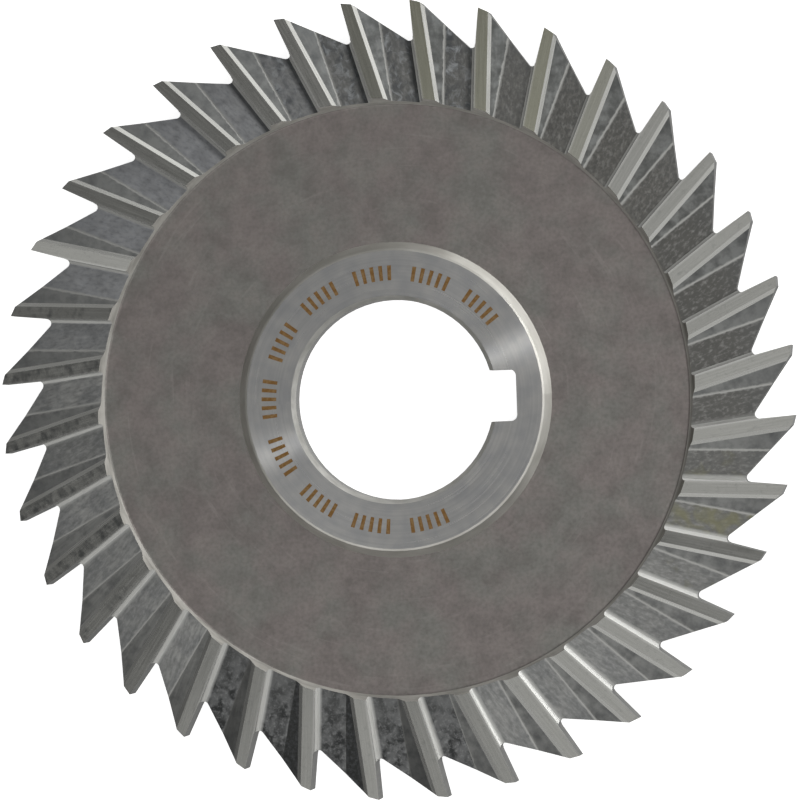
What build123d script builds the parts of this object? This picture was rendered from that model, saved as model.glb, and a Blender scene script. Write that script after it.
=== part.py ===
from build123d import *
import os
from math import cos, radians, sin, tan

# Straight-tooth side milling cutter in high-speed steel, ground from one disc.
# The bore axis is Z and the origin is in the middle of the width.
# The keyway points along +X, and the teeth cut counter-clockwise seen from +Z.
# Lengths are in millimetres and angles in degrees.

# Disc
cutter_diameter = 101.6      # 4 inches over the tooth tips
cutter_width = 3.97          # 5/32 inch over the tooth tips
tooth_count = 36
tooth_phase = 5.65           # from the keyway to the first tooth tip

# Bore and keyway for a 1 inch arbor
bore_diameter = 25.4
bore_chamfer = 0.55
keyway_width = 6.5
keyway_reach = 15.65         # from the bore axis to the keyway floor
keyway_corner = 0.8

# Hub, and the recess between it and the side teeth
hub_diameter = 38.2          # at the hub's face
hub_setback = 0.05           # hub face below the tooth tips
hub_edge_chamfer = 0.15
hub_lean = 45.0              # hub wall, measured from the axis
recess_depth = 1.0           # below the tooth tips, on each side
recess_diameter = 75.0       # at the floor of the recess
rim_lean = 41.0              # rim wall, measured from the axis
recess_corner = 0.35         # at the foot of the rim wall

# Peripheral teeth
rake_angle = 8.0
land_length = 1.3
land_relief = 12.0
back_angle = 40.5            # tooth back, below the tangent at the tip
root_radius = 0.6

# Side teeth, from the cutting edge towards the tooth's back
side_rake_angle = 11.0
side_edge_lead = 0.31        # line of the side cutting edge, ahead of the tip
side_dish = 0.25             # side cutting edge falls inwards, so the flank runs clear
side_land = 1.6
side_relief = 2.5
side_facet = 0.48
facet_slope = 24.0           # below the land
side_back_slope = 17.0       # below the land

# Gash in front of each side tooth
gash_depth = 0.6             # at the side tooth's face, where it opens into the recess
gash_fall = 3.0              # the gash deepens towards the rim
gash_tilt = 2.0              # its floor falls towards the side tooth's face
gash_corner = 0.5

# Room by which the cutting shapes run past the metal
overrun = 1.5

tip_radius = cutter_diameter / 2
half_width = cutter_width / 2
bore_radius = bore_diameter / 2
hub_radius = hub_diameter / 2
recess_radius = recess_diameter / 2
pitch = 360 / tooth_count
hub_half_width = half_width - hub_setback


def outward(angle):
    """Unit vector from the axis towards the given angle."""
    return Vector(cos(radians(angle)), sin(radians(angle)), 0)


def backward(angle, drop):
    """Unit vector that trails the tooth at this angle and dips by drop towards the axis."""
    return outward(angle - 90) * cos(radians(drop)) - outward(angle) * sin(radians(drop))


def tooth_frame(angle, rake):
    """Frame at a tooth's tip: X runs inwards down a face of this rake, Y trails it, Z is up."""
    return Plane(
        origin=outward(angle) * tip_radius,
        x_dir=backward(angle, 90 - rake),
        z_dir=(0, 0, 1),
    )


def crossing(start, heading, face):
    """Point where a line in the XY plane meets the cutting face of a tooth frame."""
    distance = (face.origin - start).dot(face.y_dir) / heading.dot(face.y_dir)
    return start + heading * distance


def toothed_outline():
    """Face of the whole disc seen along its axis, with its rounded gullets."""
    points = []
    roots = []
    for index in range(tooth_count):
        angle = tooth_phase + index * pitch
        tip = outward(angle) * tip_radius
        heel = tip + backward(angle, land_relief) * land_length
        next_face = tooth_frame(angle - pitch, rake_angle)
        root = crossing(heel, backward(angle, back_angle), next_face)
        points += [root, heel, tip]
        roots.append(root)
    outline = make_face(Polyline(*points, close=True))
    corners = [
        vertex
        for vertex in outline.vertices()
        if min((Vector(vertex) - root).length for root in roots) < root_radius / 10
    ]
    return fillet(corners, root_radius)


def recess_cut():
    """Turned hollow on the upper side, from the hub's face out to the side teeth."""
    floor = half_width - recess_depth
    above = half_width + overrun
    hub_foot = hub_radius + (recess_depth - hub_setback) * tan(radians(hub_lean))
    rim_top = recess_radius + (recess_depth + overrun) * tan(radians(rim_lean))
    section = Polygon(
        (0, above),
        (0, hub_half_width),
        (hub_radius, hub_half_width),
        (hub_foot, floor),
        (recess_radius, floor),
        (rim_top, above),
        align=None,
    )
    rim_foot = section.vertices().sort_by_distance((recess_radius, floor))[0]
    section = fillet(rim_foot, recess_corner)
    hub_edge = section.vertices().sort_by_distance((hub_radius, hub_half_width))[0]
    section = chamfer(hub_edge, hub_edge_chamfer)
    return revolve(Plane.XZ * section, Axis.Z)


def bore_cut():
    """Bore with a chamfer at each face of the hub."""
    section = Polygon(
        (0, -hub_half_width - overrun),
        (bore_radius + bore_chamfer + overrun, -hub_half_width - overrun),
        (bore_radius, -hub_half_width + bore_chamfer),
        (bore_radius, hub_half_width - bore_chamfer),
        (bore_radius + bore_chamfer + overrun, hub_half_width + overrun),
        (0, hub_half_width + overrun),
        align=None,
    )
    return revolve(Plane.XZ * section, Axis.Z)


def keyway_cut():
    """Keyway through the hub, with rounded corners at its floor."""
    slot = Rectangle(keyway_reach, keyway_width, align=(Align.MIN, Align.CENTER))
    slot = fillet(slot.vertices().group_by(Axis.X)[-1], keyway_corner)
    return extrude(slot, amount=half_width + overrun, both=True)


def side_flank(leader, length):
    """Everything above the flank of a side tooth: ground land, narrow facet and sloping back."""
    flank = Plane(
        origin=leader.from_local_coords((0, 0, half_width)),
        x_dir=leader.x_dir - leader.z_dir * tan(radians(side_dish)),
        z_dir=(
            leader.z_dir
            + leader.x_dir * tan(radians(side_dish))
            + leader.y_dir * tan(radians(side_relief))
        ),
    )
    reach = tip_radius * radians(pitch) + overrun
    land_end = side_land - side_edge_lead
    facet_end = land_end + side_facet
    facet_drop = side_facet * tan(radians(facet_slope))
    back_drop = facet_drop + (reach - facet_end) * tan(radians(side_back_slope))
    section = Polygon(
        (-overrun, 0),
        (land_end, 0),
        (facet_end, -facet_drop),
        (reach, -back_drop),
        (reach, overrun),
        (-overrun, overrun),
        align=None,
    )
    across = Plane(
        origin=flank.from_local_coords((-2 * overrun, 0, 0)),
        x_dir=flank.y_dir,
        z_dir=flank.x_dir,
    )
    return extrude(across * section, amount=length + 4 * overrun)


def side_gash():
    """Metal taken from the upper side between two neighbouring side cutting faces.

    Behind the leading tooth it leaves that tooth's flank. In front of the trailing
    tooth it leaves a floor that meets the cutting face in a fillet.
    """
    leader = tooth_frame(tooth_phase, side_rake_angle)
    trailer = tooth_frame(tooth_phase - pitch, side_rake_angle)
    rim_distance = tip_radius - recess_radius
    run_in = rim_distance + overrun

    leading_side = -side_edge_lead - gash_corner
    wedge = Polygon(
        leader.from_local_coords((-overrun, leading_side, 0)),
        leader.from_local_coords((run_in, leading_side, 0)),
        trailer.from_local_coords((run_in, -side_edge_lead, 0)),
        trailer.from_local_coords((-overrun, -side_edge_lead, 0)),
        align=None,
    )
    wedge = extrude(wedge, amount=half_width + overrun)

    floor_normal = (
        trailer.z_dir
        - trailer.x_dir * tan(radians(gash_fall))
        + trailer.y_dir * tan(radians(gash_tilt))
    )
    floor = Plane(
        origin=trailer.from_local_coords((rim_distance, -side_edge_lead, half_width - gash_depth)),
        x_dir=trailer.x_dir,
        z_dir=floor_normal,
    )
    block = 4 * tip_radius * radians(pitch)
    above_floor = floor * Box(block, block, block, align=(Align.CENTER, Align.CENTER, Align.MIN))

    gash = wedge & side_flank(leader, run_in) & above_floor
    foot = [
        edge
        for edge in gash.edges()
        if all(
            abs(trailer.to_local_coords(Vector(vertex)).Y + side_edge_lead) < 1e-4
            and abs(floor.to_local_coords(Vector(vertex)).Z) < 1e-4
            for vertex in edge.vertices()
        )
    ]
    return fillet(foot, gash_corner)


def side_milling_cutter():
    """The finished one-piece cutter."""
    disc = extrude(toothed_outline(), amount=half_width, both=True)
    recess = recess_cut()
    disc = disc - recess - mirror(recess, Plane.XY)
    gash = side_gash()
    gashes = [Rot(0, 0, index * pitch) * gash for index in range(tooth_count)]
    gashes += [mirror(copy, Plane.XY) for copy in gashes]
    disc = disc - gashes
    return disc - bore_cut() - keyway_cut()


os.makedirs("parts", exist_ok=True)
export_step(side_milling_cutter(), "parts/side_milling_cutter.step")
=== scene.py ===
"""Finishes, light table, lights and camera for the side milling cutter."""

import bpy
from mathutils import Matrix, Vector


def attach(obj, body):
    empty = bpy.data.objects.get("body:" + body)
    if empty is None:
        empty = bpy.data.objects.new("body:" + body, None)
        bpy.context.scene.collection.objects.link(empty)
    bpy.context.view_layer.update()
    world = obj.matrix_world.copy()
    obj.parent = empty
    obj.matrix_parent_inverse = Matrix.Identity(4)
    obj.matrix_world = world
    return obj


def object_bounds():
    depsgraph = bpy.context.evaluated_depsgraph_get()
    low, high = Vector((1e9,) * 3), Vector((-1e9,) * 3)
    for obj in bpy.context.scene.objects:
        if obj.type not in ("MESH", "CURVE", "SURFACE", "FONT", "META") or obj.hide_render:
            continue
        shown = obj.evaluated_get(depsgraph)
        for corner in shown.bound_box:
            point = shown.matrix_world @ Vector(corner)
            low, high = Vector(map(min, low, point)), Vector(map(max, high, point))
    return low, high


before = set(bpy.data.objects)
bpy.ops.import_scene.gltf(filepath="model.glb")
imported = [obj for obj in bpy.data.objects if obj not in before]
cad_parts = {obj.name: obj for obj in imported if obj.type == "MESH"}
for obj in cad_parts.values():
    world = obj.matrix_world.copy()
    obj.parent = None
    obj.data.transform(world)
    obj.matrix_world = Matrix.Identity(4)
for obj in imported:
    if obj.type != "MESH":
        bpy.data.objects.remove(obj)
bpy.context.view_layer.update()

from math import acos, cos, degrees, hypot, pi, radians, sin

import bpy
from bpy.props import FloatProperty, FloatVectorProperty, PointerProperty
from mathutils import Matrix, Vector

bl_info = {
    "name": "Side milling cutter",
    "version": (1, 0, 0),
    "blender": (4, 5, 0),
    "location": "3D View > Sidebar > Side cutter",
    "description": "Finishes the side milling cutter and sets it on a light table",
    "category": "Object",
}

MM = 0.001
CUTTER = "side_milling_cutter"

# Sizes of the solid that its finishes follow, in metres and degrees
half_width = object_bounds()[1].z
tip_radius = 50.8 * MM
hub_radius = 19.1 * MM
hub_face_height = half_width - 0.05 * MM
hub_foot_radius = 20.1 * MM      # where the hub's wall meets the web
rim_radius = 37.2 * MM           # where the web turns up into the rim
rim_top_radius = 38.5 * MM
tooth_count = 36
tooth_pitch = 360 / tooth_count
tooth_phase = 5.65               # from the keyway to the first tooth
edge_sweep = 3.9                 # side cutting edge trails its tip by this at the rim

# How each surface of the solid tilts off level, in degrees
hub_face_tilt = 1.0              # the hub's face tilts less than this
foot_tilt = 40.0                 # the web's finish runs up the foot of the rim to this slope
flat_land_tilt = 3.05            # beyond the rim, what tilts less is the ground land
gash_floor_tilt = 8.0            # less than this the gash floor
back_tilt = 23.0                 # less than this the sloping back
facet_tilt = 30.0                # less than this the narrow facet
upright_tilt = 89.0              # and more than this an upright wall
land_turn = 20.0                 # a wall that faces out within this is a land on the rim

# Least part of a facet's unit normal
least_inward = 0.02              # inwards, on the rim's wall
least_forward = 0.9              # forwards, on a side cutting face

# Teeth whose wear, stains and painted light and shade differ from the others', counted from the
# keyway
off_ground_teeth = (             # middle, reach in teeth and lean in degrees
    (4, 0.7, 2.0),
    (15, 0.7, 8.0),
    (32.5, 1.0, -4.5),
    (34, 0.7, -1.5),
)
off_ground_side = -71.0          # degrees from the keyway to the side that those teeth lean to
oiled_tooth = 7.0                # thin oil on the ground land
chattered_tooth = 18.5           # dark chatter marks on the ground land
highlit_foot = 31.5            # foot of the next side cutting face painted bright, a painted highlight
shaded_foot = 13.5                # and painted darker, a painted shade
highlit_floor_tooth = 27.5              # gash floor painted bright beside that foot, a painted highlight
shadowed_corner_tooth = 10.5               # and painted shadow on the floor beside it
blotched_tooth = 9.5             # dark blots and pale swirls on the gash floor
shaded_floor_tooth = 3.0             # a darker gash floor, painted shade
dusty_tooth = 5.5                # dust on the gash floor and the back
oily_gash = 34.0                 # patches of oil on the gash floor
pale_gash = 14.0                 # a paler gash floor
pale_back = 22.5                 # and a paler back

# Side cutting edges
side_rake = 11.0                 # edge against the radius at the tip
edge_offset = 9.383              # straight line of the edge passes the axis this far off, in mm
offset_slack = 0.5               # and so does the plane of its side cutting face, within this
seam_lead = 0.75                 # each tooth's pattern begins this many degrees ahead of its tip
pattern_gap = 100.0              # and lies this far from the next one's in the noise, in mm
ridge_start = 4.81               # ridge behind the edge, in mm, level with the tip
ridge_slope = 0.163              # and nearer to it by this for each mm inwards
ridge_core = 0.04                # painted highlight full within this many mm of its line
ridge_thinnest = 0.12            # and painted at all within a reach between these, in mm
ridge_widest = 0.34

# Stage
table_radius = 2.0               # in metres
table_shine = 1.8                # the table's reflection in the steel, over the room's glow
room_dim = 0.14                  # glow of the room's dim side
room_bright = 0.40               # and of its bright side
bright_side = 60.0               # from the keyway to the bright side, in degrees
aim_right = 0.765 * MM           # the camera stands beside the line through the cutter's middle
aim_down = 0.04 * MM

# Part of a unit direction
dimmest_facing = -0.3            # towards the bright side, where the room is dimmest
full_shine_rise = -0.25          # upwards, where the table's shine is full

# Most values of a noise lie between these
noise_low = 0.3
noise_high = 0.7


def from_hex(text):
    """Linear colour of an sRGB hex value."""
    channels = [int(text[place:place + 2], 16) / 255 for place in (1, 3, 5)]
    linear = [c / 12.92 if c <= 0.04045 else ((c + 0.055) / 1.055) ** 2.4 for c in channels]
    return (*linear, 1.0)


def outward(angle, radius=1.0, height=0.0):
    """Point at this angle in degrees and radius round the cutter's axis."""
    return Vector((cos(radians(angle)) * radius, sin(radians(angle)) * radius, height))


def add(tree, kind, inputs, output=0, **settings):
    """Adds one node with its settings and links, and gives one of its outputs.

    An input is a plain value, or another node's output to link from.
    """
    node = tree.nodes.new(kind)
    for name, value in settings.items():
        setattr(node, name, value)
    for place, value in inputs.items():
        if isinstance(value, bpy.types.NodeSocket):
            tree.links.new(value, node.inputs[place])
        else:
            node.inputs[place].default_value = value
    return node.outputs[output]


def calculate(tree, operation, *values):
    """Result of one operation on values, each of them plain or another node's output."""
    return add(tree, "ShaderNodeMath", dict(enumerate(values)), operation=operation)


def ramp(tree, value, start, end, low=0.0, high=1.0):
    """Low up to the start, high from the end on, and in proportion between them."""
    inputs = {"Value": value, "From Min": start, "From Max": end, "To Min": low, "To Max": high}
    return add(tree, "ShaderNodeMapRange", inputs)


def mix_colours(tree, share, first, second):
    """Blend of two colours, with this share of the second."""
    # The Mix node takes colours at its inputs 6 and 7 and gives one at its output 2
    inputs = {"Factor": share, 6: first, 7: second}
    return add(tree, "ShaderNodeMix", inputs, 2, data_type="RGBA")


def stretched(tree, place, sizes):
    """Place counted in these sizes, for a pattern that is longer one way than another."""
    return add(tree, "ShaderNodeVectorMath", {0: place, 1: sizes}, operation="DIVIDE")


def noise(tree, place, size=1.0, detail=2.0, roughness=0.5, distortion=0.0):
    """Random pattern with blots of this size, in the unit of its place."""
    inputs = {
        "Vector": place,
        "Scale": 1 / size,
        "Detail": detail,
        "Roughness": roughness,
        "Distortion": distortion,
    }
    return add(tree, "ShaderNodeTexNoise", inputs)


def solid_place(tree):
    """Place on the solid, in millimetres."""
    metres = add(tree, "ShaderNodeTexCoord", {}, "Object")
    return add(tree, "ShaderNodeVectorMath", {0: metres, 1: (MM, MM, MM)}, operation="DIVIDE")


def polar_place(tree):
    """Radius in millimetres, angle in degrees and height in millimetres."""
    place = solid_place(tree)
    x, y, height = add(tree, "ShaderNodeSeparateXYZ", {0: place}).node.outputs
    level = add(tree, "ShaderNodeVectorMath", {0: place, 1: (1.0, 1.0, 0.0)}, operation="MULTIPLY")
    radius = add(tree, "ShaderNodeVectorMath", {0: level}, "Value", operation="LENGTH")
    angle = calculate(tree, "ARCTAN2", y, x)
    return radius, calculate(tree, "DEGREES", angle), height


def lathe_place(tree):
    """Place unrolled round the axis: outwards, along the turning marks, and up, in millimetres."""
    radius, angle, height = polar_place(tree)
    along = calculate(tree, "MULTIPLY", angle, radians(hub_radius / MM))
    return add(tree, "ShaderNodeCombineXYZ", {0: radius, 1: along, 2: height})


def past_edge(tree, radius, turned):
    """Distance in millimetres behind a side cutting edge, from the angle turned from its line."""
    across = calculate(tree, "SINE", turned)
    return calculate(tree, "MULTIPLY_ADD", across, radius, -edge_offset)


def tooth_turn(tree):
    """How far a point is turned back from the line of its side cutting edge, in radians.

    Its radius and height in millimetres come with it, and the number of its tooth,
    counted from the keyway.
    """
    radius, angle, height = polar_place(tree)
    sweep = edge_sweep / ((tip_radius - rim_radius) / MM)
    inward = calculate(tree, "SUBTRACT", tip_radius / MM, radius)
    swept = calculate(tree, "MULTIPLY_ADD", inward, sweep, angle)
    seam = tooth_phase + seam_lead
    started = calculate(tree, "SUBTRACT", swept, seam)
    counted = calculate(tree, "DIVIDE", started, tooth_pitch)
    leader = calculate(tree, "CEIL", counted)
    tip_angle = calculate(tree, "MULTIPLY_ADD", leader, tooth_pitch, tooth_phase)
    trail = calculate(tree, "SUBTRACT", tip_angle, angle)
    turned = calculate(tree, "MULTIPLY_ADD", trail, radians(1.0), radians(side_rake))
    number = calculate(tree, "FLOORED_MODULO", leader, tooth_count)
    return turned, radius, height, number


def tooth_place(tree):
    """Place on one side tooth, and the number of the tooth.

    The place runs inwards, then back from the side cutting edge, in millimetres, and
    its third part keeps the pattern of each tooth apart from the others'.
    """
    turned, radius, height, number = tooth_turn(tree)
    back = past_edge(tree, radius, turned)
    share = calculate(tree, "COSINE", turned)
    reach = calculate(tree, "MULTIPLY", share, radius)
    edge_reach = tip_radius / MM * cos(radians(side_rake))
    along = calculate(tree, "SUBTRACT", edge_reach, reach)
    side = calculate(tree, "SIGN", height)
    apart = calculate(tree, "MULTIPLY_ADD", side, tooth_count, number)
    depth = calculate(tree, "MULTIPLY", apart, pattern_gap)
    return add(tree, "ShaderNodeCombineXYZ", {0: along, 1: back, 2: depth}), number


def past_next_edge(tree):
    """Distance in millimetres behind the next side cutting face, and negative ahead of it."""
    turned, radius = tooth_turn(tree)[:2]
    turned_next = calculate(tree, "SUBTRACT", turned, radians(tooth_pitch))
    return past_edge(tree, radius, turned_next)


def near_tooth(tree, number, middle, full, none):
    """1 within the full number of teeth from the middle one, fading to 0 at the other number."""
    past = calculate(tree, "SUBTRACT", number, middle)
    away = calculate(tree, "PINGPONG", past, tooth_count / 2)
    return ramp(tree, away, full, none, low=1.0, high=0.0)


def ridge_highlight(tree, place):
    """Share of painted highlight along the shallow ridge where a tooth's back meets the gash
    floor.
    """
    along, back = add(tree, "ShaderNodeSeparateXYZ", {0: place}).node.outputs[:2]
    level = calculate(tree, "MULTIPLY_ADD", along, ridge_slope, back)
    past = calculate(tree, "SUBTRACT", level, ridge_start)
    off = calculate(tree, "ABSOLUTE", past)
    uneven = noise(tree, place, 0.6)
    reach = ramp(tree, uneven, noise_low, noise_high, low=ridge_thinnest, high=ridge_widest)
    return ramp(tree, off, reach, ridge_core)


def ground_normal(tree, number, most):
    """Normal that leans up to this many degrees, another way on each tooth.

    Each tooth was ground by itself, and a few of them stand further off the others' angle.
    """
    chance = add(tree, "ShaderNodeTexWhiteNoise", {"W": number}, "Color", noise_dimensions="1D")
    mean = (0.5, 0.5, 0.5)
    centred = add(tree, "ShaderNodeVectorMath", {0: chance, 1: mean}, operation="SUBTRACT")
    sharp = add(tree, "ShaderNodeNewGeometry", {}, "Normal")
    spread = 2 * sin(radians(most))
    leant = add(
        tree,
        "ShaderNodeVectorMath",
        {0: centred, 1: (spread, spread, spread), 2: sharp},
        operation="MULTIPLY_ADD",
    )
    # A tooth leans as a whole, so the share falls from 1 to 0 between two teeth
    for middle, reach, lean in off_ground_teeth:
        share = near_tooth(tree, number, middle, full=reach - 0.1, none=reach)
        side = outward(off_ground_side) * sin(radians(lean))
        leant = add(
            tree,
            "ShaderNodeVectorMath",
            {0: share, 1: side, 2: leant},
            operation="MULTIPLY_ADD",
        )
    return add(tree, "ShaderNodeVectorMath", {0: leant}, operation="NORMALIZE")


def flattened_normal(tree):
    """Normal of a small round corner that wear has turned into a flatter slope."""
    sharp = add(tree, "ShaderNodeNewGeometry", {}, "Normal")
    height = add(tree, "ShaderNodeSeparateXYZ", {0: solid_place(tree)}, 2)
    side = calculate(tree, "SIGN", height)
    up = add(tree, "ShaderNodeCombineXYZ", {2: side})
    leant = add(tree, "ShaderNodeVectorMath", {0: sharp, 1: up}, operation="ADD")
    return add(tree, "ShaderNodeVectorMath", {0: leant}, operation="NORMALIZE")


def new_material(name):
    """Empty material and its node tree."""
    material = bpy.data.materials.new(name)
    material.use_nodes = True
    material.node_tree.nodes.clear()
    return material, material.node_tree


def finish_steel(tree, base, layers, roughness, relief, normal=None, brushed=0.0):
    """Lays tones over the base colour and ends the tree in the shader of bare steel.

    A layer is a colour, the most that it covers, the pattern that spreads it, and the
    values of the pattern where it begins and where it is full. The roughness is a
    pattern with the smoothest and roughest values, and the relief a pattern with its
    depth in millimetres. Brushed steel draws the light out across its rings.
    """
    tone = base
    for colour, most, pattern, begins, full in layers:
        cover = ramp(tree, pattern, begins, full, high=most)
        tone = mix_colours(tree, cover, tone, colour)
    pattern, smoothest, roughest = roughness
    rough = ramp(tree, pattern, noise_low, noise_high, low=smoothest, high=roughest)
    pattern, depth = relief
    marks = {"Strength": 1.0, "Distance": depth * MM, "Height": pattern}
    if normal is not None:
        marks["Normal"] = normal
    inputs = {"Base Color": tone, "Metallic": 1.0, "Roughness": rough}
    inputs["Normal"] = add(tree, "ShaderNodeBump", marks)
    if brushed:
        inputs["Anisotropic"] = brushed
        inputs["Anisotropic Rotation"] = 0.25    # a quarter turn, to lie across the rings
        inputs["Tangent"] = add(tree, "ShaderNodeTangent", {}, direction_type="RADIAL", axis="Z")
    shader = add(tree, "ShaderNodeBsdfPrincipled", inputs)
    tree.links.new(shader, tree.nodes.new("ShaderNodeOutputMaterial").inputs[0])


def face_ground_steel(finish):
    """High-speed steel, face-ground on a turning table: fine rings and long radial highlights."""
    material, tree = new_material("high_speed_steel_face_ground")
    # Real grinding rings are about 0.05 mm apart, so they are drawn coarser to show
    laid = stretched(tree, lathe_place(tree), (finish.ring_spacing, 30.0, 9.0))
    rings = noise(tree, laid, detail=3.0)
    haze = noise(tree, solid_place(tree), 2.2, detail=4.0)
    layers = (
        (from_hex("#C0BFBC"), 1.0, haze, 0.35, 0.65),
        (from_hex("#909293"), 0.3, rings, 0.3, 0.7),
    )
    base = tuple(finish.ground_colour)
    finish_steel(tree, base, layers, (rings, 0.27, 0.31), (rings, 0.008), brushed=0.99)
    return material


def turned_steel(finish):
    """High-speed steel, turned with a fine feed: rings and a slightly warm, soft shine."""
    material, tree = new_material("high_speed_steel_turned")
    place = lathe_place(tree)
    # Real turning rings are about 0.1 mm apart, so they are drawn coarser to show
    laid = stretched(tree, place, (finish.ring_spacing, 60.0, finish.ring_spacing))
    rings = noise(tree, laid)
    laid = stretched(tree, place, (1.5, 5.0, 1.5))
    dirt = noise(tree, laid, detail=3.0)
    layers = ((from_hex("#C9C7BF"), 1.0, dirt, 0.35, 0.7),)
    base = from_hex("#E2E0D9")
    finish_steel(tree, base, layers, (rings, 0.34, 0.42), (rings, 0.002), brushed=0.5)
    return material


def rim_wall_steel(finish):
    """High-speed steel, turned and then blasted with the web: dull, its ring marks gone soft."""
    material, tree = new_material("high_speed_steel_rim_wall")
    # Smears of dirt, 0.8 mm wide and 2.5 mm long round the axis
    laid = stretched(tree, lathe_place(tree), (0.8, 2.5, 0.8))
    dirt = noise(tree, laid, detail=4.0, roughness=0.6)
    angle, height = polar_place(tree)[1:]
    away = calculate(tree, "ABSOLUTE", angle)
    level = calculate(tree, "ABSOLUTE", height)
    # Darker high on the wall on the keyway's side
    dark_from, dark_to = 45.0, 15.0    # degrees from the keyway
    dark_foot, dark_top = 0.8, 0.45    # mm below the tooth tips
    keyway_side = ramp(tree, away, dark_from, dark_to)
    top = half_width / MM
    upper = ramp(tree, level, top - dark_foot, top - dark_top)
    dark_band = calculate(tree, "MULTIPLY", keyway_side, upper)
    layers = (
        (from_hex("#AEACA6"), 0.8, dirt, 0.4, 0.65),
        (from_hex("#5B574B"), 0.55, dark_band, 0.0, 1.0),
    )
    finish_steel(tree, from_hex("#D2D0CA"), layers, (dirt, 0.62, 0.74), (dirt, 0.006))
    return material


def blasted_steel(finish):
    """High-speed steel, hardened and blasted: fine dull grain with faint warm and green clouds."""
    material, tree = new_material("high_speed_steel_blasted")
    place = solid_place(tree)
    # Drifts of 8 mm and clouds of 3 mm. Real grit marks are about 0.1 mm, so they are
    # drawn coarser to show
    drifts = noise(tree, place, 8.0, detail=4.0, roughness=0.55)
    clouds = noise(tree, place, 3.0, detail=5.0, roughness=0.7)
    grain = noise(tree, place, finish.blast_grain)
    laid = stretched(tree, lathe_place(tree), (0.6, 5.0, 9.0))
    scuffs = noise(tree, laid, distortion=0.8)
    layers = (
        (from_hex("#90908B"), 0.85, drifts, 0.44, 0.62),
        (from_hex("#A59E99"), 0.45, clouds, 0.5, 0.68),
        (from_hex("#75716D"), 0.4, clouds, 0.5, 0.34),
        (from_hex("#736F6B"), 0.22, grain, 0.4, 0.75),
        (from_hex("#B5B0AB"), 0.2, scuffs, 0.62, 0.75),
    )
    base = tuple(finish.web_colour)
    finish_steel(tree, base, layers, (grain, 0.5, 0.62), (grain, 0.012))
    return material


def side_ground_steel(finish):
    """High-speed steel, ground along each tooth: straight fine lines and a soft shine."""
    material, tree = new_material("high_speed_steel_side_ground")
    place, number = tooth_place(tree)
    # Real grinding lines are about 0.05 mm wide, so they are drawn coarser to show
    laid = stretched(tree, place, (6.0, finish.grinding_spacing, 1.0))
    lines = noise(tree, laid, detail=3.0)
    # Blots of 0.8 mm, and chatter in dents of 0.9 by 1.6 mm
    blots = noise(tree, place, 0.8, detail=5.0, roughness=0.65)
    laid = stretched(tree, place, (0.9, 1.6, 1.0))
    dents = noise(tree, laid, detail=4.0, roughness=0.6)
    chattered = near_tooth(tree, number, chattered_tooth, full=2.0, none=5.0)
    chatter = calculate(tree, "MULTIPLY", dents, chattered)
    back = add(tree, "ShaderNodeSeparateXYZ", {0: place}, 1)
    oiled = near_tooth(tree, number, oiled_tooth, full=1.0, none=3.0)
    layers = (
        (from_hex("#B3B3AE"), 1.0, lines, 0.3, 0.7),
        (from_hex("#7D7F7C"), 0.4, blots, 0.55, 0.75),
        (from_hex("#A5A485"), 0.45, oiled, 0.0, 1.0),
        (from_hex("#5F6161"), 0.8, chatter, 0.42, 0.66),
        # Painted highlight: the land is lighter within 0.3 mm behind the side cutting edge
        (from_hex("#DCDCD8"), 0.6, back, 0.3, 0.0),
    )
    normal = ground_normal(tree, number, most=1.5)
    base = from_hex("#A5A5A0")
    finish_steel(tree, base, layers, (lines, 0.2, 0.26), (lines, 0.0015), normal)
    return material


def honed_facet_steel(finish):
    """High-speed steel, honed to a narrow facet: the brightest line of the tooth."""
    material, tree = new_material("high_speed_steel_honed")
    place, number = tooth_place(tree)
    # Drawn as coarse as the grinding lines, since real honing lines are finer still
    laid = stretched(tree, place, (5.0, finish.grinding_spacing, 1.0))
    lines = noise(tree, laid)
    layers = ((from_hex("#C8C8C4"), 1.0, lines, 0.3, 0.7),)
    normal = ground_normal(tree, number, most=1.5)
    base = from_hex("#BCBCB7")
    finish_steel(tree, base, layers, (lines, 0.22, 0.3), (lines, 0.0015), normal)
    return material


def milled_back_steel(finish):
    """High-speed steel, milled to a slope and hardened: dull grey with oxide and a worn ridge."""
    material, tree = new_material("high_speed_steel_milled_back")
    place, number = tooth_place(tree)
    # Oxide in blots of the stain size, and milling streaks 0.35 mm wide and 4 mm long
    mottle = noise(tree, place, finish.stain_size, detail=4.0, roughness=0.6)
    laid = stretched(tree, place, (4.0, 0.35, 1.0))
    streaks = noise(tree, laid, detail=3.0)
    speckles = noise(tree, place, finish.speckle_size, detail=5.0, roughness=0.7)
    stained = near_tooth(tree, number, finish.stained_tooth, full=0.8, none=2.6)
    inward = add(tree, "ShaderNodeSeparateXYZ", {0: place})
    bright = near_tooth(tree, number, finish.stained_tooth, full=6.0, none=18.0)
    flecks = calculate(tree, "MULTIPLY", speckles, stained)
    dusty = near_tooth(tree, number, dusty_tooth, full=3.0, none=6.0)
    dust = calculate(tree, "MULTIPLY", mottle, dusty)
    pale = near_tooth(tree, number, pale_back, full=2.0, none=3.5)
    layers = (
        (from_hex("#A2A29F"), 0.9, bright, 0.0, 1.0),
        (from_hex("#C6C6C2"), 0.7, pale, 0.0, 1.0),
        (from_hex("#8D8F8D"), 0.5, streaks, 0.35, 0.65),
        (from_hex("#4B4A43"), 0.6, dust, 0.36, 0.64),
        (from_hex("#5D5F60"), 0.6, mottle, 0.42, 0.72),
        (from_hex("#5A5C5D"), 0.35, inward, 8.0, 1.0),
        # Painted highlight along the ridge where the back meets the gash floor
        (from_hex("#BDBDB9"), 0.9, ridge_highlight(tree, place), 0.0, 1.0),
        (tuple(finish.oxide_colour), 0.85, stained, 0.0, 1.0),
        (from_hex("#85888A"), 0.6, flecks, 0.45, 0.7),
    )
    base = from_hex("#747675")
    finish_steel(tree, base, layers, (mottle, 0.46, 0.58), (mottle, 0.006))
    return material


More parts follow.
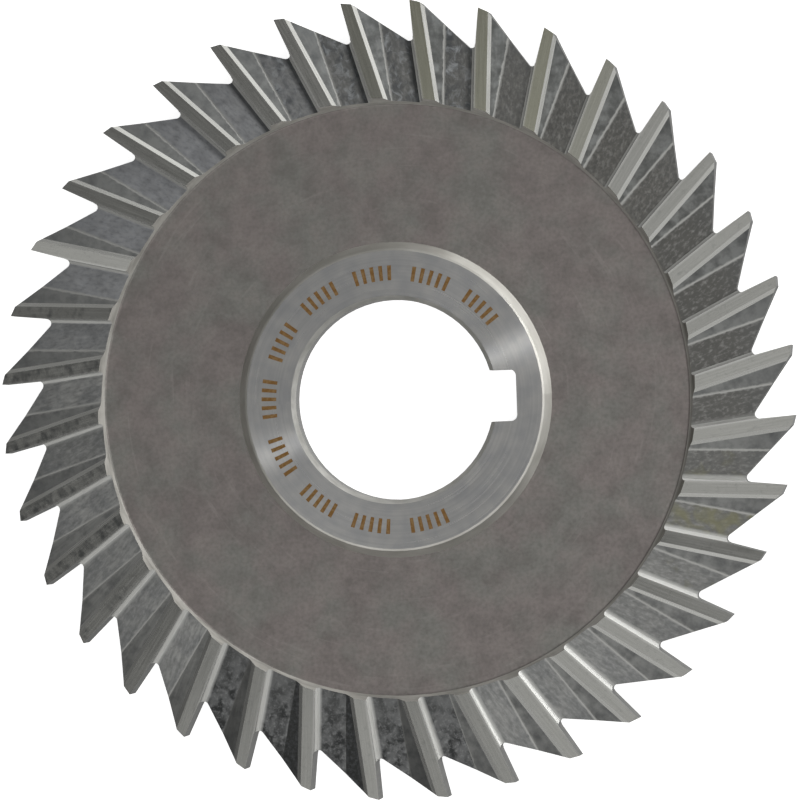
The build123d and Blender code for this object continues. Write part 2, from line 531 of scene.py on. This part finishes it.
def milled_gash_steel(finish):
    """High-speed steel, milled flat and hardened: bluish grey with swirls and mottled oxide."""
    material, tree = new_material("high_speed_steel_milled_gash")
    place, number = tooth_place(tree)
    # Grain of 0.8 by 0.45 mm, oxide in blots of the stain size, swirls of 1.3 mm, patches
    # of 2.4 mm, and milling streaks 0.5 mm wide and 3 mm long
    laid = stretched(tree, place, (0.8, 0.45, 1.0))
    grain = noise(tree, laid, detail=5.0, roughness=0.65)
    mottle = noise(tree, place, finish.stain_size, detail=5.0, distortion=0.5)
    swirls = noise(tree, place, 1.3, detail=5.0, roughness=0.6, distortion=0.9)
    patches = noise(tree, place, 2.4, detail=3.0, distortion=0.6)
    laid = stretched(tree, place, (3.0, 0.5, 1.0))
    streaks = noise(tree, laid, detail=5.0, roughness=0.6)
    speckles = noise(tree, place, finish.speckle_size, detail=5.0, roughness=0.7)
    blotched = near_tooth(tree, number, blotched_tooth, full=1.8, none=4.5)
    pale = near_tooth(tree, number, pale_gash, full=1.5, none=4.0)
    blots = calculate(tree, "MULTIPLY", mottle, blotched)
    curls = calculate(tree, "MULTIPLY", swirls, blotched)
    inward = add(tree, "ShaderNodeSeparateXYZ", {0: place})
    chance = add(tree, "ShaderNodeTexWhiteNoise", {"W": number}, noise_dimensions="1D")
    floor_shade = near_tooth(tree, number, shaded_floor_tooth, full=2.5, none=8.0)
    dusty = near_tooth(tree, number, dusty_tooth, full=2.0, none=4.5)
    dust = calculate(tree, "MULTIPLY", speckles, dusty)
    oily = near_tooth(tree, number, oily_gash, full=0.6, none=2.0)
    oil = calculate(tree, "MULTIPLY", patches, oily)
    past_next = past_next_edge(tree)
    # Where the painted shadow begins and is full in front of the next side face, and then the
    # painted highlight, in mm
    shadow_from, shadow_to = -1.35, -0.75
    highlight_from, highlight_to = -0.9, -0.5
    corner = ramp(tree, past_next, shadow_from, shadow_to)
    shadowed = near_tooth(tree, number, shadowed_corner_tooth, full=1.5, none=4.0)
    corner_shadow = calculate(tree, "MULTIPLY", corner, shadowed)
    highlit = near_tooth(tree, number, highlit_floor_tooth, full=7.0, none=9.0)
    edge = ramp(tree, past_next, highlight_from, highlight_to)
    floor_highlight = calculate(tree, "MULTIPLY", edge, highlit)
    stained = near_tooth(tree, number, finish.stained_tooth + 0.5, full=2.1, none=2.5)
    # The stain thins out towards the web, between these distances inwards, in mm
    clean_from, clean_to = 9.0, 13.0
    inner = ramp(tree, inward, clean_from, clean_to)
    cleaner = calculate(tree, "MULTIPLY", stained, inner)
    blacks = calculate(tree, "MULTIPLY", mottle, stained)
    flecks = calculate(tree, "MULTIPLY", speckles, stained)
    layers = (
        (from_hex("#B2B2AF"), 1.0, streaks, 0.35, 0.65),
        (from_hex("#7F8182"), 0.6, patches, 0.4, 0.66),
        (from_hex("#7B7C7A"), 0.5, chance, 0.0, 1.0),
        # Painted shade on the gash floors of the teeth round the shaded one
        (from_hex("#5D5C58"), 0.85, floor_shade, 0.0, 1.0),
        (from_hex("#B4B6BA"), 0.7, pale, 0.0, 1.0),
        (from_hex("#C4C3C0"), 0.45, grain, 0.5, 0.75),
        (from_hex("#61615F"), 0.5, grain, 0.5, 0.25),
        (from_hex("#6A6D6E"), 0.5, inward, 9.0, 2.0),
        (from_hex("#A5A29B"), 0.4, dust, 0.46, 0.75),
        (from_hex("#8E8C6C"), 0.6, oil, 0.4, 0.6),
        (from_hex("#4E5256"), 0.7, blots, 0.46, 0.68),
        (from_hex("#C8CCCF"), 0.65, curls, 0.52, 0.7),
        # Painted highlight along the ridge where the back meets the gash floor
        (from_hex("#BDBDB9"), 0.9, ridge_highlight(tree, place), 0.0, 1.0),
        (from_hex("#6A6B6B"), 0.85, stained, 0.0, 1.0),
        (tuple(finish.oxide_colour), 0.9, blacks, 0.42, 0.6),
        (from_hex("#A6A7A7"), 0.6, flecks, 0.5, 0.7),
        (from_hex("#737473"), 0.4, cleaner, 0.0, 1.0),
        # Painted shadow in the corner in front of the next side face
        (from_hex("#2E3031"), 0.8, corner_shadow, 0.0, 1.0),
        # Painted highlight on the floor in front of the next side face
        (from_hex("#D8D8D4"), 0.8, floor_highlight, 0.0, 1.0),
    )
    base = tuple(finish.gash_colour)
    finish_steel(tree, base, layers, (mottle, 0.34, 0.5), (mottle, 0.006))
    return material


def gash_foot_steel(finish):
    """High-speed steel, rounded by the mill's corner into a bright soft line, painted brighter as
    a highlight on some teeth and darker as shade on others.
    """
    material, tree = new_material("high_speed_steel_foot_with_painted_highlight")
    place, number = tooth_place(tree)
    # Real milling lines are about 0.05 mm wide, so they are drawn coarser to show
    laid = stretched(tree, place, (5.0, 0.2, 1.0))
    lines = noise(tree, laid)
    highlit = near_tooth(tree, number, highlit_foot, full=2.7, none=3.7)
    shadowed = near_tooth(tree, number, shaded_foot, full=1.5, none=4.0)
    layers = (
        (from_hex("#C8C8C4"), 1.0, lines, 0.3, 0.7),
        # Painted highlight on the feet of the teeth round the highlit one
        (from_hex("#EEEEEA"), 1.0, highlit, 0.0, 1.0),
        # Painted shade on the feet of the teeth round the shaded one
        (from_hex("#7E7E7B"), 0.5, shadowed, 0.0, 1.0),
    )
    base = from_hex("#B6B6B2")
    normal = flattened_normal(tree)
    finish_steel(tree, base, layers, (lines, 0.46, 0.54), (lines, 0.001), normal)
    return material


def gullet_steel(finish):
    """High-speed steel, milled between the teeth: lines across the width and a dull shine."""
    material, tree = new_material("high_speed_steel_gullet")
    place = solid_place(tree)
    # Real milling lines are about 0.1 mm apart, so they are drawn coarser to show
    laid = stretched(tree, place, (0.35, 0.35, 5.0))
    lines = noise(tree, laid, detail=3.0)
    stain = noise(tree, place, finish.stain_size, detail=3.0)
    layers = (
        (from_hex("#B5B5B1"), 1.0, lines, 0.3, 0.7),
        (from_hex("#6B6C6A"), 0.5, stain, 0.5, 0.7),
    )
    finish_steel(tree, from_hex("#9A9B98"), layers, (lines, 0.34, 0.46), (lines, 0.006))
    return material


def chamfered_steel(finish):
    """High-speed steel, chamfered and handled: a dull silver ring round the bore."""
    material, tree = new_material("high_speed_steel_chamfered")
    # Smears of dirt, 1 mm wide and 4 mm long round the bore
    laid = stretched(tree, lathe_place(tree), (1.0, 4.0, 1.0))
    dirt = noise(tree, laid, detail=3.0)
    layers = ((from_hex("#BDBCB7"), 1.0, dirt, 0.35, 0.7),)
    finish_steel(tree, from_hex("#D8D7D2"), layers, (dirt, 0.56, 0.66), (dirt, 0.002))
    return material


def bored_steel(finish):
    """High-speed steel, bored, ground and broached: bright, with lines round the bore."""
    material, tree = new_material("high_speed_steel_bored")
    # Real lines round the bore are about 0.05 mm apart, so they are drawn coarser to show
    laid = stretched(tree, lathe_place(tree), (2.0, 20.0, 0.12))
    lines = noise(tree, laid)
    layers = ((from_hex("#CCCCC8"), 1.0, lines, 0.3, 0.7),)
    finish_steel(tree, from_hex("#B5B5B1"), layers, (lines, 0.24, 0.34), (lines, 0.003))
    return material


def etched_steel(finish):
    """High-speed steel, marked with an electric etch: a flat brown oxide, patchy at its edges."""
    material, tree = new_material("high_speed_steel_etched")
    # Patches of thin oxide, 0.4 mm across
    patches = noise(tree, solid_place(tree), 0.4, detail=3.0)
    layers = ((from_hex("#A88D66"), 0.8, patches, 0.42, 0.7),)
    base = tuple(finish.mark_colour)
    finish_steel(tree, base, layers, (patches, 0.45, 0.6), (patches, 0.002))
    return material


FINISHES = {
    "web": blasted_steel,
    "hub": face_ground_steel,
    "turned": turned_steel,
    "rim": rim_wall_steel,
    "edge": chamfered_steel,
    "bore": bored_steel,
    "land": side_ground_steel,
    "facet": honed_facet_steel,
    "back": milled_back_steel,
    "gash": milled_gash_steel,
    "foot": gash_foot_steel,
    "gullet": gullet_steel,
}


def finish_at(centre, normal):
    """Key of the finish on a facet of the solid, from its place and the way it faces."""
    radius = hypot(centre.x, centre.y)
    tilt = degrees(acos(min(1.0, abs(normal.z))))
    faces_out = (normal.x * centre.x + normal.y * centre.y) / radius
    faces_on = (centre.x * normal.y - centre.y * normal.x) / radius
    upright = tilt > upright_tilt
    if radius < hub_foot_radius and tilt > hub_face_tilt:
        if upright:
            return "bore"
        return "edge" if faces_out < 0.0 else "turned"
    if radius < hub_radius:
        return "hub"
    if radius < rim_top_radius and faces_out < -least_inward or radius < rim_radius:
        return "web" if tilt < foot_tilt else "rim"
    if upright:
        if faces_out > cos(radians(land_turn)):
            return "land"
        offset = faces_out * radius / MM
        on_side_face = faces_on > least_forward and abs(offset - edge_offset) < offset_slack
        return "foot" if on_side_face else "gullet"
    if tilt < flat_land_tilt:
        return "land"
    if tilt < gash_floor_tilt:
        return "gash"
    if faces_on > 0.0:
        return "foot"
    if tilt < back_tilt:
        return "back"
    return "facet" if tilt < facet_tilt else "foot"


class SIDECUTTER_PG_finish(bpy.types.PropertyGroup):
    """Sizes and colours of the cutter's finishes."""

    ring_spacing: FloatProperty(
        name="Ring spacing",
        description="Width of the turning and grinding rings in mm, drawn coarser than real ones",
        default=0.28,
        min=0.05,
    )
    grinding_spacing: FloatProperty(
        name="Grinding spacing",
        description="Width of the grinding lines on the teeth in mm, drawn coarser than real ones",
        default=0.22,
        min=0.05,
    )
    blast_grain: FloatProperty(
        name="Blast grain",
        description="Size of the blasted web's grain in mm, drawn coarser than real grit marks",
        default=0.45,
        min=0.05,
    )
    stain_size: FloatProperty(
        name="Stain size",
        description="Size of one blot of oxide in the gashes in mm",
        default=1.5,
        min=0.1,
    )
    speckle_size: FloatProperty(
        name="Speckle size",
        description="Size of the light specks on the heavily stained teeth in mm",
        default=0.5,
        min=0.1,
    )
    stained_tooth: FloatProperty(
        name="Stained tooth",
        description="Number of the tooth in the middle of the four most stained ones",
        default=25.5,
    )
    ground_colour: FloatVectorProperty(
        name="Ground colour",
        description="Grey of the face-ground hub",
        subtype="COLOR",
        size=4,
        min=0.0,
        max=1.0,
        default=from_hex("#B1B1B1"),
    )
    web_colour: FloatVectorProperty(
        name="Web colour",
        description="Warm grey of the blasted web",
        subtype="COLOR",
        size=4,
        min=0.0,
        max=1.0,
        default=from_hex("#938C89"),
    )
    gash_colour: FloatVectorProperty(
        name="Gash colour",
        description="Grey of the milled gash floors",
        subtype="COLOR",
        size=4,
        min=0.0,
        max=1.0,
        default=from_hex("#949593"),
    )
    oxide_colour: FloatVectorProperty(
        name="Oxide colour",
        description="Near black of the most stained teeth",
        subtype="COLOR",
        size=4,
        min=0.0,
        max=1.0,
        default=from_hex("#3B3C3C"),
    )
    mark_colour: FloatVectorProperty(
        name="Mark colour",
        description="Brown of the etched ring of marks",
        subtype="COLOR",
        size=4,
        min=0.0,
        max=1.0,
        default=from_hex("#8C6A40"),
    )
    mark_height: FloatProperty(
        name="Mark height",
        description="Radial height of the etched marks",
        default=1.9 * MM,
        unit="LENGTH",
    )
    mark_radius: FloatProperty(
        name="Mark radius",
        description="Radius of the middle of the etched ring",
        default=16.1 * MM,
        unit="LENGTH",
    )


class SIDECUTTER_PG_stage(bpy.types.PropertyGroup):
    """View and brightness of the stage."""

    lens: FloatProperty(
        name="Lens",
        description="Focal length of the camera",
        default=237.7,
        subtype="DISTANCE_CAMERA",
    )
    distance: FloatProperty(
        name="Distance",
        description="From the camera to the middle of the cutter's upper side",
        default=669.8 * MM,
        unit="LENGTH",
    )
    lean: FloatProperty(
        name="Lean",
        description="Angle of the view away from the cutter's axis",
        default=radians(8.292),
        subtype="ANGLE",
    )
    lean_side: FloatProperty(
        name="Lean side",
        description="Angle from the keyway to the side that the view leans to",
        default=radians(-3.864),
        subtype="ANGLE",
    )
    roll: FloatProperty(
        name="Roll",
        description="Angle of the keyway above the picture's horizontal",
        default=radians(2.157),
        subtype="ANGLE",
    )
    table_glow: FloatProperty(
        name="Table glow",
        description="Light that the table gives off",
        default=0.85,
        min=0.0,
    )
    overhead_glow: FloatProperty(
        name="Overhead glow",
        description="Radiance of the soft panel over the cutter",
        default=0.58,
        min=0.0,
    )
    key_glow: FloatProperty(
        name="Key glow",
        description="Radiance of the bright soft panel on the keyway's side",
        default=1.05,
        min=0.0,
    )
    lamp_glow: FloatProperty(
        name="Lamp glow",
        description="Radiance of the small lamp that draws the streaks on the hub",
        default=60.0,
        min=0.0,
    )


class SIDECUTTER_OT_finish_steel(bpy.types.Operator):
    """Give each ground, turned, milled and blasted surface of the cutter its own finish"""

    bl_idname = "sidecutter.finish_steel"
    bl_label = "Finish the steel"

    def execute(self, context):
        settings = context.scene.side_cutter_finish
        cutter = bpy.data.objects[CUTTER]
        places = {}
        cutter.data.materials.clear()
        for key, make in FINISHES.items():
            places[key] = len(cutter.data.materials)
            cutter.data.materials.append(make(settings))
        for facet in cutter.data.polygons:
            facet.material_index = places[finish_at(facet.center, facet.normal)]
        return {"FINISHED"}


class SIDECUTTER_OT_etch_marks(bpy.types.Operator):
    """Lay a ring of plain etched marks on the face of the hub"""

    bl_idname = "sidecutter.etch_marks"
    bl_label = "Etch the marks"

    def execute(self, context):
        settings = context.scene.side_cutter_finish
        inner = settings.mark_radius - settings.mark_height / 2
        outer = settings.mark_radius + settings.mark_height / 2
        height = hub_face_height + 0.01 * MM    # just clear of the face
        first_mark = 36.0                       # degrees from the keyway
        mark_width = 1.7
        mark_step = 3.9
        group_step = 26.6
        marks_in_group = 5
        group_count = 10
        corners = []
        facets = []
        for group in range(group_count):
            for mark in range(marks_in_group):
                start = first_mark + group * group_step + mark * mark_step
                base = len(corners)
                corners += [
                    outward(start, inner, height),
                    outward(start, outer, height),
                    outward(start + mark_width, outer, height),
                    outward(start + mark_width, inner, height),
                ]
                facets.append([base + 3, base + 2, base + 1, base])
        mesh = bpy.data.meshes.new("etched_marks")
        mesh.from_pydata(corners, [], facets)
        mesh.materials.append(etched_steel(settings))
        marks = bpy.data.objects.new("etched_marks", mesh)
        context.scene.collection.objects.link(marks)
        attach(marks, "root")
        return {"FINISHED"}


def soft_panel(scene, name, size, radiance, location, rotation):
    """Rectangular light of this size in metres and radiance, which the camera doesn't see."""
    data = bpy.data.lights.new(name, "AREA")
    data.shape = "RECTANGLE"
    data.size, data.size_y = size
    data.energy = radiance * pi * data.size * data.size_y    # watts that give this radiance
    panel = bpy.data.objects.new(name, data)
    panel.location = location
    panel.rotation_euler = rotation
    panel.visible_camera = False
    scene.collection.objects.link(panel)


def side_panel(scene, name, azimuth, elevation, distance, size, radiance):
    """Panel that faces the cutter from this direction."""
    towards = outward(azimuth, cos(radians(elevation)), sin(radians(elevation)))
    rotation = towards.to_track_quat("Z", "Y").to_euler()
    soft_panel(scene, name, size, radiance, towards * distance, rotation)


def ceiling_panel(scene, name, turn, across, along, height, radiance):
    """Panel flat over the cutter, turned to a side.

    Its edges lie across and along that side, as seen from the axis.
    """
    size = (across[1] - across[0], along[1] - along[0])
    middle = outward(turn + 90) * sum(across) / 2 + outward(turn) * sum(along) / 2
    location = middle + Vector((0, 0, height))
    soft_panel(scene, name, size, radiance, location, (0, 0, radians(turn + 90)))


def opal_acrylic(glow):
    """Opal acrylic, cast and lit from below: an even white that swallows the shadows."""
    material, tree = new_material("opal_acrylic_light_table")
    haze = noise(tree, solid_place(tree), 30.0)
    inputs = {
        "Base Color": mix_colours(tree, haze, from_hex("#F4F4F2"), from_hex("#F8F8F7")),
        "Roughness": 0.6,
        "Emission Color": from_hex("#FFFFFF"),
        "Emission Strength": glow,
    }
    shader = add(tree, "ShaderNodeBsdfPrincipled", inputs)
    tree.links.new(shader, tree.nodes.new("ShaderNodeOutputMaterial").inputs[0])
    return material


def set_world(scene):
    """Dim room round the lights, and a pale backdrop where the camera sees past the table."""
    world = bpy.data.worlds.new("studio")
    world.use_nodes = True
    tree = world.node_tree
    tree.nodes.clear()
    direction = add(tree, "ShaderNodeTexCoord", {}, "Generated")
    facing = add(
        tree,
        "ShaderNodeVectorMath",
        {0: direction, 1: outward(bright_side)},
        "Value",
        operation="DOT_PRODUCT",
    )
    wall_glow = ramp(tree, facing, dimmest_facing, 1.0, low=room_dim, high=room_bright)
    height = add(tree, "ShaderNodeSeparateXYZ", {0: direction}, 2)
    share = ramp(tree, height, 0.0, full_shine_rise, low=1.0, high=table_shine)
    glow = calculate(tree, "MULTIPLY", wall_glow, share)
    room = add(tree, "ShaderNodeBackground", {"Color": from_hex("#FFFFFF"), "Strength": glow})
    backdrop = add(tree, "ShaderNodeBackground", {"Color": from_hex("#F4F4F2"), "Strength": 1.0})
    seen = add(tree, "ShaderNodeLightPath", {}, "Is Camera Ray")
    mixed = add(tree, "ShaderNodeMixShader", {0: seen, 1: room, 2: backdrop})
    tree.links.new(mixed, tree.nodes.new("ShaderNodeOutputWorld").inputs[0])
    scene.world = world


def set_camera(scene, stage):
    """Camera over the cutter, leaning to one side as in the photograph."""
    target = Vector((0, 0, half_width))
    back = outward(degrees(stage.lean_side)) * sin(stage.lean) + Vector((0, 0, cos(stage.lean)))
    picture_up = outward(90 - degrees(stage.roll))
    right = picture_up.cross(back).normalized()
    up = back.cross(right)
    data = bpy.data.cameras.new("camera")
    data.sensor_width = 36.0
    data.lens = stage.lens
    data.clip_start = 0.01
    data.clip_end = 20.0
    camera = bpy.data.objects.new("camera", data)
    aim = right * aim_right - up * aim_down
    turn = Matrix((right, up, back)).transposed().to_4x4()
    camera.matrix_world = Matrix.Translation(target + back * stage.distance + aim) @ turn
    scene.collection.objects.link(camera)
    scene.camera = camera


class SIDECUTTER_OT_set_stage(bpy.types.Operator):
    """Set the light table, the studio lights and the camera round the cutter"""

    bl_idname = "sidecutter.set_stage"
    bl_label = "Set the stage"

    def execute(self, context):
        scene = context.scene
        stage = scene.side_cutter_stage
        scene.view_settings.view_transform = "Standard"
        edge = [outward(angle, table_radius, -half_width) for angle in range(0, 360, 5)]
        mesh = bpy.data.meshes.new("light_table")
        mesh.from_pydata(edge, [], [list(range(len(edge)))])
        mesh.materials.append(opal_acrylic(stage.table_glow))
        table = bpy.data.objects.new("light_table", mesh)
        table.visible_glossy = False    # the steel mirrors the room's glow in its place
        scene.collection.objects.link(table)
        ceiling_panel(
            scene,
            "overhead_panel",
            turn=-65.0,
            across=(-2.0, 1.0),
            along=(-0.05, 1.6),
            height=1.0,
            radiance=stage.overhead_glow,
        )
        panels = (
            # Name, azimuth and elevation in degrees, distance and size in metres, radiance
            ("fill_panel", -16.0, 18.0, 1.5, (1.0, 1.0), 0.3),
            ("back_panel", 232.0, 54.0, 1.2, (0.65, 0.45), 0.24),
            ("key_panel", 40.0, 23.0, 1.5, (2.15, 1.25), stage.key_glow),
            ("key_lamp", 29.0, 62.0, 1.4, (0.09, 0.09), stage.lamp_glow),
        )
        for panel in panels:
            side_panel(scene, *panel)
        set_world(scene)
        set_camera(scene, stage)
        return {"FINISHED"}


class SIDECUTTER_PT_tools(bpy.types.Panel):
    """Tools and settings of the side milling cutter"""

    bl_idname = "SIDECUTTER_PT_tools"
    bl_label = "Side milling cutter"
    bl_space_type = "VIEW_3D"
    bl_region_type = "UI"
    bl_category = "Side cutter"

    def draw(self, context):
        layout = self.layout
        for operator in OPERATORS:
            layout.operator(operator.bl_idname)
        for group in (context.scene.side_cutter_finish, context.scene.side_cutter_stage):
            for name in group.__annotations__:
                layout.prop(group, name)


OPERATORS = (
    SIDECUTTER_OT_finish_steel,
    SIDECUTTER_OT_etch_marks,
    SIDECUTTER_OT_set_stage,
)
CLASSES = (SIDECUTTER_PG_finish, SIDECUTTER_PG_stage, *OPERATORS, SIDECUTTER_PT_tools)


def register():
    for one in CLASSES:
        bpy.utils.register_class(one)
    bpy.types.Scene.side_cutter_finish = PointerProperty(type=SIDECUTTER_PG_finish)
    bpy.types.Scene.side_cutter_stage = PointerProperty(type=SIDECUTTER_PG_stage)


def unregister():
    del bpy.types.Scene.side_cutter_stage
    del bpy.types.Scene.side_cutter_finish
    for one in reversed(CLASSES):
        bpy.utils.unregister_class(one)


def main():
    register()
    bpy.ops.sidecutter.finish_steel()
    bpy.ops.sidecutter.etch_marks()
    bpy.ops.sidecutter.set_stage()


if __name__ == "__main__":
    main()
